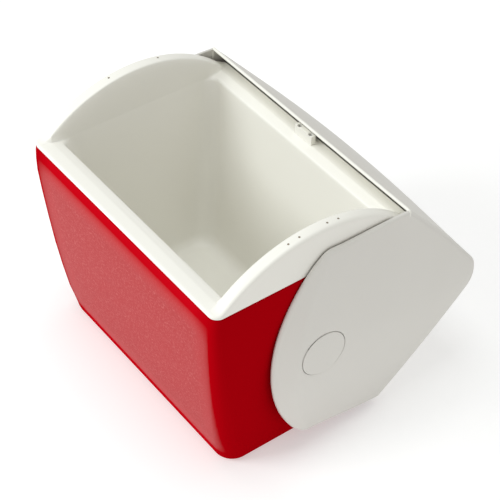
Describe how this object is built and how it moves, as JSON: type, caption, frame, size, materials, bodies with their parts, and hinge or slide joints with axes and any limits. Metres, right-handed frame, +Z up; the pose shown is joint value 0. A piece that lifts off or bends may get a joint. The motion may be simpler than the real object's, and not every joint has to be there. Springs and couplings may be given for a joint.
{
  "type": "small hard cooler",
  "caption": "Small insulated hard cooler with tapered tub, arched ends, and a tent lid that swings over on side pivots, with push latch and folding carry handle.",
  "frame": {"origin": "centre of the underside of the tub, on the floor", "axes": "+X along the length of the tub towards its right end, +Y to the back where the open lid hangs, +Z up"},
  "size_m": [0.361, 0.3407, 0.2985],
  "materials": {
    "red_shell": "satin",
    "white_liner": "satin",
    "lid_grey": "matte",
    "foam": "matte",
    "dark_plastic": "satin",
    "steel": "satin"
  },
  "bodies": {
    "tub": {"outer_tub": "red_shell", "inner_liner": "white_liner", "tub_foam": "foam", "bearing_right": "dark_plastic", "bearing_left": "dark_plastic", "bearing_screws": "steel", "catch_plate": "white_liner", "catch_screws": "steel"},
    "lid": {"lid_shell": "lid_grey", "lid_liner": "white_liner", "lid_foam": "foam", "shaft_right": "steel", "shaft_left": "steel", "cap_right": "lid_grey", "cap_left": "lid_grey", "latch_housing": "lid_grey", "latch_pin": "steel", "latch_spring": "steel", "handle_pan": "lid_grey", "handle_pin_right": "steel", "handle_pin_left": "steel"},
    "latch": {"latch_button": "lid_grey"},
    "handle": {"handle_bail": "lid_grey", "handle_grip": "dark_plastic"}
  },
  "joints": [
    {"name": "lid_swing", "type": "hinge", "parent": "tub", "child": "lid", "pos_m": [0, 0, 0.147], "axis": [1, 0, 0], "range_deg": [0, 187.8]},
    {"name": "latch_press", "type": "hinge", "parent": "lid", "child": "latch", "pos_m": [0, 0.12961, 0.03993], "axis": [1, 0, 0], "range_deg": [0, 7], "stiffness_Nm_per_rad": 0.6},
    {"name": "handle_swing", "type": "hinge", "parent": "lid", "child": "handle", "pos_m": [0, 0.19704, 0.1055], "axis": [1, 0, 0], "range_deg": [0, 133]}
  ]
}
